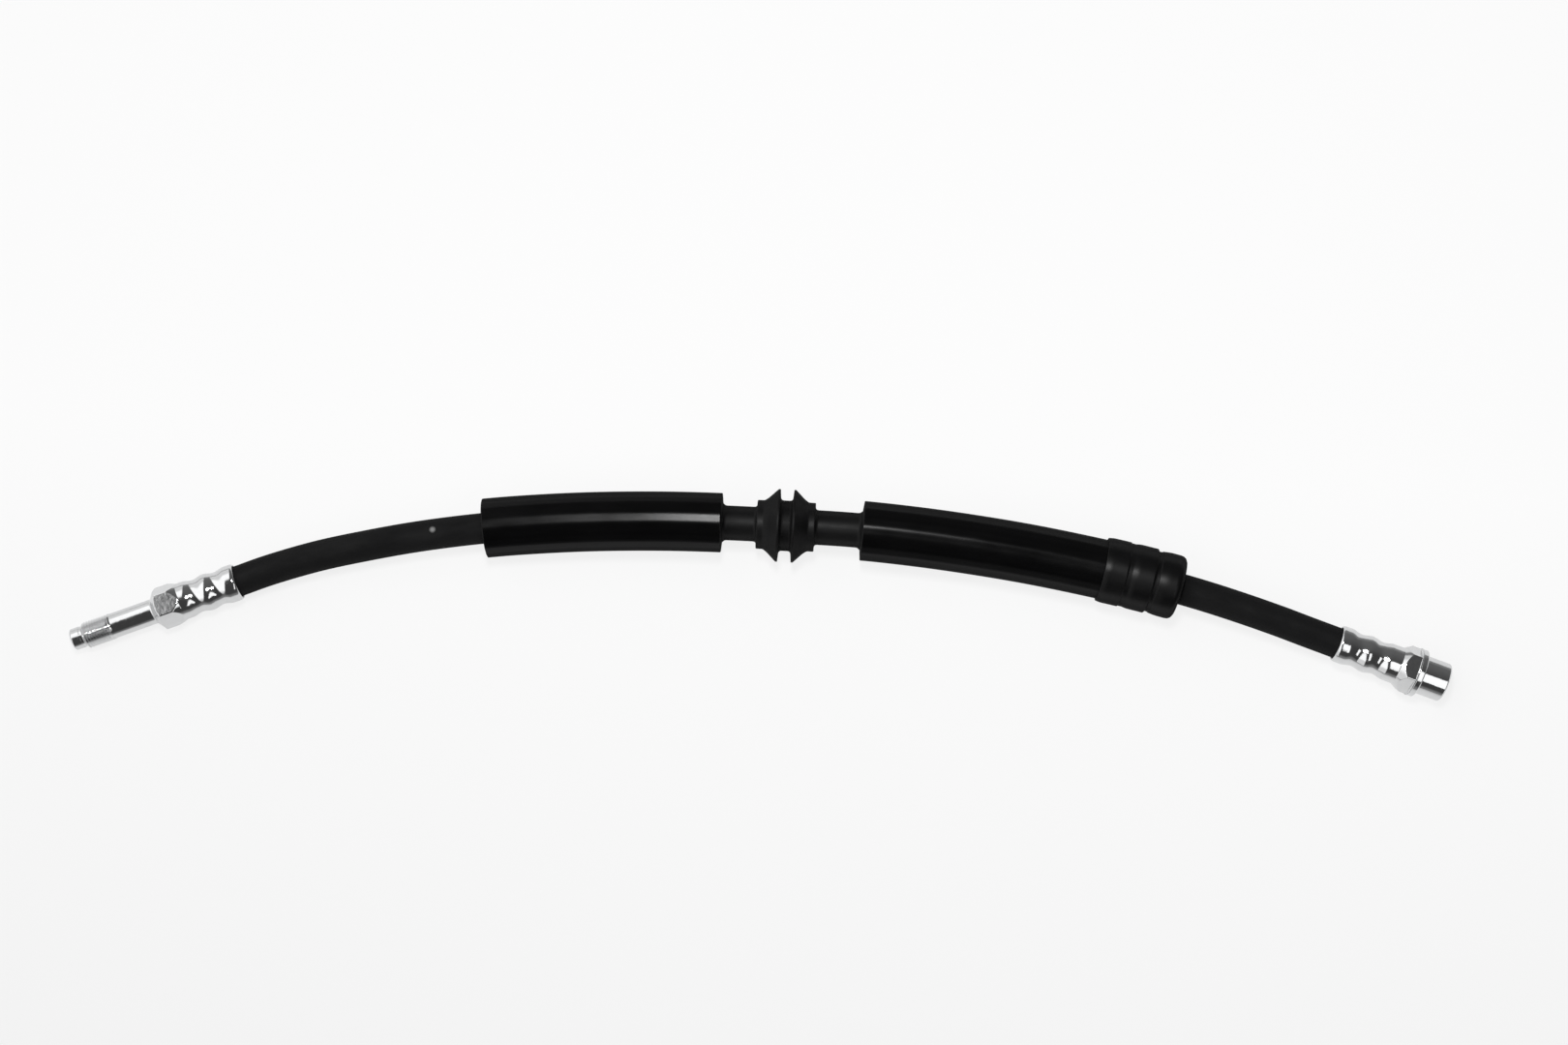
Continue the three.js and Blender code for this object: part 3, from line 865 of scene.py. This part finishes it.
class BRAKEHOSE_OT_hose(bpy.types.Operator):
    """The hose with its bore, squeezed inside both shells"""
    bl_idname = "brake_hose.hose"
    bl_label = "Hose"

    def execute(self, context):
        settings = context.scene.brake_hose
        hose, shell = settings.hose, settings.shell
        free_end = HOSE_LENGTH - hose.in_shell
        depth = stretch(hose.in_shell, 0, step=0.4 * MM)
        squeezed = np.minimum(
            hose.radius, shell_outside(depth, shell, hose, shell.radius) - shell.wall - hose.gap)
        outline = np.vstack([
            at_radius(hose.in_shell - depth, squeezed),
            at_radius(stretch(hose.in_shell, free_end, step=1.2 * MM)[1:-1], hose.radius),
            at_radius(free_end + depth[::-1], squeezed[::-1]),
            at_radius(stretch(HOSE_LENGTH, 0, step=6 * MM), hose.bore),
        ])
        tube = carried_round("hose_tube", outline, columns=72)
        finish = settings.finish
        material = rubber(
            "hose_rubber", finish.hose, finish.hose_roughness, streaks=2600,
            streak_depth=0.012 * MM, grain_depth=0.01 * MM, specular=0.2)
        speck = route_point(hose.speck_along, hose.speck_angle, hose.radius)
        speckled(material, speck, hose.speck_radius, finish.speck)
        dressed(tube, material, "hose_rubber", "hose")
        exit_point = route_point(hose.in_shell, 0.0, 0.0)
        return {"FINISHED"}


class BRAKEHOSE_OT_sleeves(bpy.types.Operator):
    """The two ribbed sleeves"""
    bl_idname = "brake_hose.sleeves"
    bl_label = "Sleeves"

    def execute(self, context):
        settings = context.scene.brake_hose
        places = stations(settings)
        finish = settings.finish
        material = rubber(
            "sleeve_rubber", finish.sleeve, finish.sleeve_roughness, streaks=1500,
            streak_depth=0.003 * MM, grain_depth=0.002 * MM, specular=0.15)
        left = self.sleeve(
            settings, "left_sleeve_ribbed", places["left_sleeve"], places["left_end"],
            settings.sleeve.left_turn)
        dressed(left, material, "sleeve_rubber", "left_sleeve")
        right = self.sleeve(
            settings, "right_sleeve_ribbed", places["right_sleeve"], places["right_end"],
            turn=0.0)
        dressed(right, material, "sleeve_rubber", "right_sleeve")
        return {"FINISHED"}

    def sleeve(self, settings, name, start, end, turn):
        """The radius dips between the ribs by the cosine of the rib count times the angle."""
        sleeve = settings.sleeve
        bore, bore_round = settings.grommet.neck + settings.hose.gap, 0.3 * MM
        near_bore = bore + 1.5 * MM
        outline = rounded([
            (start + sleeve.end_cone, sleeve.radius, sleeve.rounding),
            (end - sleeve.end_cone, sleeve.radius, sleeve.rounding),
            (end, bore, bore_round),
            (start, bore, bore_round),
        ], step=1.5 * MM)

        def ribbed(along, angle, radius):
            valley = 0.5 - 0.5 * np.cos(sleeve.ribs * (angle - turn))
            outside = smoothstep(radius, near_bore, sleeve.radius - sleeve.rounding)
            return radius - sleeve.rib_depth * valley * outside

        return carried_round(name, outline, columns=sleeve.ribs * RIB_COLUMNS, shape=ribbed)


class BRAKEHOSE_OT_grommet(bpy.types.Operator):
    """The grommet: two wings with the bracket groove between them, hubs and thin necks"""
    bl_idname = "brake_hose.grommet"
    bl_label = "Grommet"

    def execute(self, context):
        settings = context.scene.brake_hose
        grommet, hose = settings.grommet, settings.hose
        start = stations(settings)["grommet"]
        size = grommet_length(grommet)
        middle = start + size / 2
        bore = hose.radius + hose.gap
        left = self.half(grommet, size / 2, hose.left_neck)
        right = self.half(grommet, size / 2, hose.right_neck)
        left[:, 0] = middle - left[:, 0]
        right[:, 0] = middle + right[::-1, 0]
        right[:, 1:] = right[::-1, 1:]
        outline = rounded([
            *left,
            *right,
            (right[-1, 0], bore, FINE),
            (left[0, 0], bore, FINE),
        ], step=1.2 * MM)
        piece = carried_round("grommet_moulded", outline, columns=144)
        material = moulded_rubber(
            settings, "moulded_rubber_satin", settings.finish.grommet_roughness)
        dressed(piece, material, "moulded_rubber", "grommet")
        return {"FINISHED"}

    def half(self, grommet, size, neck):
        """One half's corners from its neck's end to the groove: from the middle, radius, setback.

        The rim leans away from the groove, the cone is hollow at a share of its length from the
        hub, and a short fillet runs up to the sleeve that the neck goes into.
        """
        neck_radius, bead = grommet.neck, grommet.bead
        neck_edge, bead_top, bead_round, bead_foot = 0.15 * MM, 0.03 * MM, 0.4 * MM, 0.3 * MM
        hub_edge, hollow_round, rim_edge, root_round = 0.45 * MM, 0.9 * MM, 0.14 * MM, 1.1 * MM
        wing_end = size - grommet.hub_length
        rim_inside = grommet.groove / 2 + grommet.flare
        rim_outside = rim_inside + grommet.rim
        hollow_share = 0.3
        hollow = wing_end - hollow_share * (wing_end - rim_outside)
        hollow_radius = grommet.hub + hollow_share * (grommet.wing - grommet.hub) - grommet.dish
        bead_end = size + neck - 0.04 * MM
        return np.array([
            (size + neck + grommet.overlap, neck_radius, neck_edge),
            (bead_end, neck_radius, bead_top),
            (bead_end, neck_radius + 0.6 * bead, FINE),
            (bead_end - 0.5 * bead, neck_radius + 0.12 * bead, bead_round),
            (bead_end - bead, neck_radius, bead_foot),
            (size, neck_radius, grommet.neck_fillet),
            (size, grommet.hub, hub_edge),
            (wing_end, grommet.hub, hub_edge),
            (hollow, hollow_radius, hollow_round),
            (rim_outside, grommet.wing, rim_edge),
            (rim_inside, grommet.wing, rim_edge),
            (grommet.groove / 2, grommet.root, root_round),
        ])


class BRAKEHOSE_OT_cap(bpy.types.Operator):
    """The cap on the right sleeve: three rings parted by two grooves"""
    bl_idname = "brake_hose.cap"
    bl_label = "Sleeve cap"

    def execute(self, context):
        settings = context.scene.brake_hose
        cap, hose = settings.cap, settings.hose
        start = stations(settings)["cap"]
        end = start + cap.length
        corners, ring_start = [], start
        foot, crest, edge, floor_round = 0.2 * MM, 1.2 * MM, 0.45 * MM, 0.35 * MM
        groove_slope, bore_round, mouth_round = 0.25 * MM, 0.6 * MM, 0.15 * MM
        for depth in (cap.shallow, cap.deep):
            ring_end = ring_start + cap.ring
            groove_end = ring_end + cap.groove
            corners += [
                (ring_start, cap.radius - cap.rise, foot),
                (ring_start + cap.shoulder, cap.radius, crest),
                (ring_end, cap.radius, edge),
                (ring_end + groove_slope, cap.radius - depth, floor_round),
                (groove_end - groove_slope, cap.radius - depth, floor_round),
            ]
            ring_start = groove_end
        socket = settings.sleeve.radius + hose.gap
        socket_end = start + cap.sleeve_depth + hose.gap
        bore = hose.radius + hose.gap
        last_radius = cap.radius - 0.15 * MM
        last_slope = 1.6  # the third ring's rise and shoulder, against the other rings'
        corners += [
            (ring_start, cap.radius - last_slope * cap.rise, foot),
            (ring_start + last_slope * cap.shoulder, last_radius, crest),
            (end, last_radius, cap.end_round),
            (end, bore, bore_round),
            (socket_end, bore, SHARP),
            (socket_end, socket, SHARP),
            (start, socket, mouth_round),
        ]
        outline = rounded(corners, step=1.0 * MM)
        piece = carried_round("sleeve_cap_moulded", outline, columns=144)
        material = moulded_rubber(
            settings, "moulded_rubber_glossy", settings.finish.cap_roughness)
        dressed(piece, material, "moulded_rubber", "sleeve_cap")
        return {"FINISHED"}


class BRAKEHOSE_OT_male_fitting(bpy.types.Operator):
    """The male fitting: nose, thread, shank, hexagon and crimped shell"""
    bl_idname = "brake_hose.male_fitting"
    bl_label = "Male fitting"

    def execute(self, context):
        settings = context.scene.brake_hose
        shell, male, thread = settings.shell, settings.male, settings.thread
        thread_start = male.hex_end + male.shank_length
        thread_end = thread_start + male.thread_length
        nose_start = thread_end + male.groove_length
        tip = nose_start + male.nose_length
        shank_start = male.hex_end + 1 * MM
        first_crest, last_crest = thread_start + 0.7 * MM, thread_end - 0.9 * MM
        runout_end = thread_end - 0.3 * MM
        back_round, foot_round, bore_chamfer = 0.6 * MM, 0.4 * MM, 0.3 * MM
        half_step = 0.3 * MM  # half the length of the cone from the shank up to the thread
        corner = hexagon_corner(male.flats, settings.hose)
        hexagon_part = rounded([
            (male.hex_start, shell.radius, 0),
            (male.hex_start + male.back_cone, corner, back_round),
            (male.hex_end - male.front_cone, corner, EDGE),
            (male.hex_end, male.shank, foot_round),
            (shank_start, male.shank, 0),
        ], step=0.2 * MM, closed=False)
        shank = rounded([
            (shank_start, male.shank, 0),
            (thread_start - half_step, male.shank, EDGE),
            (thread_start + half_step, male.thread, EDGE),
            (first_crest, male.thread, 0),
        ], step=1.2 * MM, closed=False)
        threaded = stretch(first_crest, last_crest, thread.pitch / THREAD_ROWS)[:-1]
        nose = rounded([
            (last_crest, male.thread, 0),
            (last_crest + 0.1 * MM, male.thread, FINE),
            (thread_end, male.nose_groove, EDGE),
            (nose_start, male.nose_groove, EDGE),
            (nose_start, male.nose, EDGE),
            (tip - male.nose_chamfer, male.nose, EDGE),
            (tip, male.nose - male.nose_chamfer, EDGE),
            (tip, shell.bore + bore_chamfer, EDGE),
            (tip - bore_chamfer, shell.bore, EDGE),
            (shell.cavity + shell.seat_depth, shell.bore, 0),
        ], step=1.0 * MM, closed=False)
        outline = np.vstack([
            shell_surface(settings, male.hex_start, lambda depth: shell.radius),
            hexagon_part,
            shank,
            at_radius(threaded, male.thread),
            nose,
            fitting_room(settings),
        ])
        outline[:, 0] = settings.hose.in_shell - outline[:, 0]

        def turned(along, angle, radius):
            depth = settings.hose.in_shell - along
            dip = thread_dip(depth, -angle, thread_start, runout_end, thread)
            outside = radius > male.nose_groove + 0.2 * MM
            return np.minimum(radius - dip * outside, hexagon(male.flats, angle))

        piece = carried_round("male_fitting_turned", outline, columns=216, shape=turned)
        dressed(piece, plating(settings), "plated_steel", "male_fitting")
        return {"FINISHED"}


class BRAKEHOSE_OT_female_fitting(bpy.types.Operator):
    """The female fitting: crimped shell, hexagon, flange and threaded barrel"""
    bl_idname = "brake_hose.female_fitting"
    bl_label = "Female fitting"

    def execute(self, context):
        settings = context.scene.brake_hose
        shell, female, thread = settings.shell, settings.female, settings.thread
        flange_end = female.hex_end + female.flange_length
        mouth = flange_end + female.barrel_length
        chamfer, barrel_chamfer, back_round = 0.35 * MM, 0.6 * MM, 0.5 * MM
        first_crest = mouth - female.countersink - 0.2 * MM
        socket_end = mouth - female.socket_depth
        last_crest = socket_end + 0.5 * MM
        flats_end = female.hex_end - 0.03 * MM

        def plain(depth):
            blend = smoothstep(depth, shell.crimp_2, shell.crimp_2 + shell.half_width)
            return shell.radius + (female.body - shell.radius) * blend

        corner = hexagon_corner(female.flats, settings.hose)
        hexagon_part = rounded([
            (female.shell_end, female.body, 0),
            (female.shell_end + female.cone, corner, back_round),
            (flats_end, corner, 0),
            (female.hex_end, female.flange - chamfer, EDGE),
        ], step=0.2 * MM, closed=False)
        barrel = rounded([
            (female.hex_end, female.flange - chamfer, 0),
            (female.hex_end + chamfer, female.flange, EDGE),
            (flange_end - chamfer, female.flange, EDGE),
            (flange_end, female.flange - chamfer, EDGE),
            (flange_end, female.barrel, EDGE),
            (mouth - barrel_chamfer, female.barrel, EDGE),
            (mouth, female.barrel - barrel_chamfer, EDGE),
            (mouth, female.socket + female.countersink, EDGE),
            (mouth - female.countersink, female.socket, EDGE),
            (first_crest, female.socket, 0),
        ], step=0.7 * MM, closed=False)
        threaded = stretch(first_crest, last_crest, thread.pitch / THREAD_ROWS)[:-1]
        drill_point = (female.socket - shell.bore) / math.tan(DRILL_HALF_ANGLE)
        bottom = rounded([
            (last_crest, female.socket, 0),
            (socket_end, female.socket, EDGE),
            (socket_end - drill_point, shell.bore, EDGE),
            (shell.cavity + shell.seat_depth, shell.bore, 0),
        ], step=1.0 * MM, closed=False)
        outline = np.vstack([
            shell_surface(settings, female.shell_end, plain),
            hexagon_part,
            barrel,
            at_radius(threaded, female.socket),
            bottom,
            fitting_room(settings),
        ])
        start = HOSE_LENGTH - settings.hose.in_shell
        outline[:, 0] += start

        def turned(along, angle, radius):
            depth = along - start
            cut = np.minimum(radius, hexagon(female.flats, angle))
            radius = np.where(depth < flats_end + TOLERANCE, cut, radius)
            in_socket = (radius < female.socket + TOLERANCE) & (depth > socket_end)
            dip = thread_dip(depth, angle, socket_end + thread.pitch, mouth, thread)
            return radius + dip * in_socket

        piece = carried_round("female_fitting_turned", outline, columns=216, shape=turned)
        dressed(piece, plating(settings), "plated_steel", "female_fitting")
        return {"FINISHED"}


class BRAKEHOSE_OT_inserts(bpy.types.Operator):
    """The finish of the two insert tubes inside the fittings"""
    bl_idname = "brake_hose.inserts"
    bl_label = "Insert tubes"

    def execute(self, context):
        material, shader = new_material("insert_steel")
        tree = material.node_tree
        place = tree.nodes.new("ShaderNodeTexCoord")
        noise = tree.nodes.new("ShaderNodeTexNoise")
        noise.inputs["Scale"].default_value = 900
        noise.inputs["Detail"].default_value = 4
        tree.links.new(place.outputs["Object"], noise.inputs["Vector"])
        uneven, darker, lighter = noise.outputs["Fac"], (0.5, 0.5, 0.51), grey(0.62)
        feed(tree, shader.inputs["Roughness"], spread_over(tree, uneven, low=0.28, high=0.45))
        feed(tree, shader.inputs["Base Color"], mixed(tree, uneven, darker, lighter))
        shader.inputs["Metallic"].default_value = 1.0
        for node in ("male_insert", "female_insert"):
            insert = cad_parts[node]
            insert.data.materials.clear()
            insert.data.materials.append(material)
        return {"FINISHED"}


class BRAKEHOSE_PT_panel(bpy.types.Panel):
    """The sidebar panel with the pieces and their sizes"""
    bl_label = "Brake Hose"
    bl_space_type = "VIEW_3D"
    bl_region_type = "UI"
    bl_category = "Brake Hose"

    def draw(self, context):
        settings = context.scene.brake_hose
        for group, operators in PANEL_ROWS:
            box = self.layout.box()
            for operator in operators:
                box.operator(operator.bl_idname)
            for name in getattr(settings, group).bl_rna.properties.keys():
                if name not in ("rna_type", "name"):
                    box.prop(getattr(settings, group), name)


PANEL_ROWS = (
    ("stage", (BRAKEHOSE_OT_stage,)),
    ("hose", (BRAKEHOSE_OT_hose,)),
    ("sleeve", (BRAKEHOSE_OT_sleeves,)),
    ("grommet", (BRAKEHOSE_OT_grommet,)),
    ("cap", (BRAKEHOSE_OT_cap,)),
    ("shell", (BRAKEHOSE_OT_inserts,)),
    ("male", (BRAKEHOSE_OT_male_fitting,)),
    ("female", (BRAKEHOSE_OT_female_fitting,)),
    ("thread", ()),
    ("finish", ()),
)

CLASSES = (
    HoseSizes,
    SleeveSizes,
    GrommetSizes,
    CapSizes,
    ShellSizes,
    MaleSizes,
    FemaleSizes,
    ThreadSizes,
    FinishSettings,
    StageSettings,
    BrakeHoseSettings,
    BRAKEHOSE_OT_stage,
    BRAKEHOSE_OT_hose,
    BRAKEHOSE_OT_sleeves,
    BRAKEHOSE_OT_grommet,
    BRAKEHOSE_OT_cap,
    BRAKEHOSE_OT_male_fitting,
    BRAKEHOSE_OT_female_fitting,
    BRAKEHOSE_OT_inserts,
    BRAKEHOSE_PT_panel,
)


def register():
    for cls in CLASSES:
        bpy.utils.register_class(cls)
    bpy.types.Scene.brake_hose = PointerProperty(type=BrakeHoseSettings)


def unregister():
    del bpy.types.Scene.brake_hose
    for cls in reversed(CLASSES):
        bpy.utils.unregister_class(cls)


def main():
    register()
    bpy.ops.brake_hose.stage()
    bpy.ops.brake_hose.hose()
    bpy.ops.brake_hose.sleeves()
    bpy.ops.brake_hose.grommet()
    bpy.ops.brake_hose.cap()
    bpy.ops.brake_hose.male_fitting()
    bpy.ops.brake_hose.female_fitting()
    bpy.ops.brake_hose.inserts()


if __name__ == "__main__":
    main()
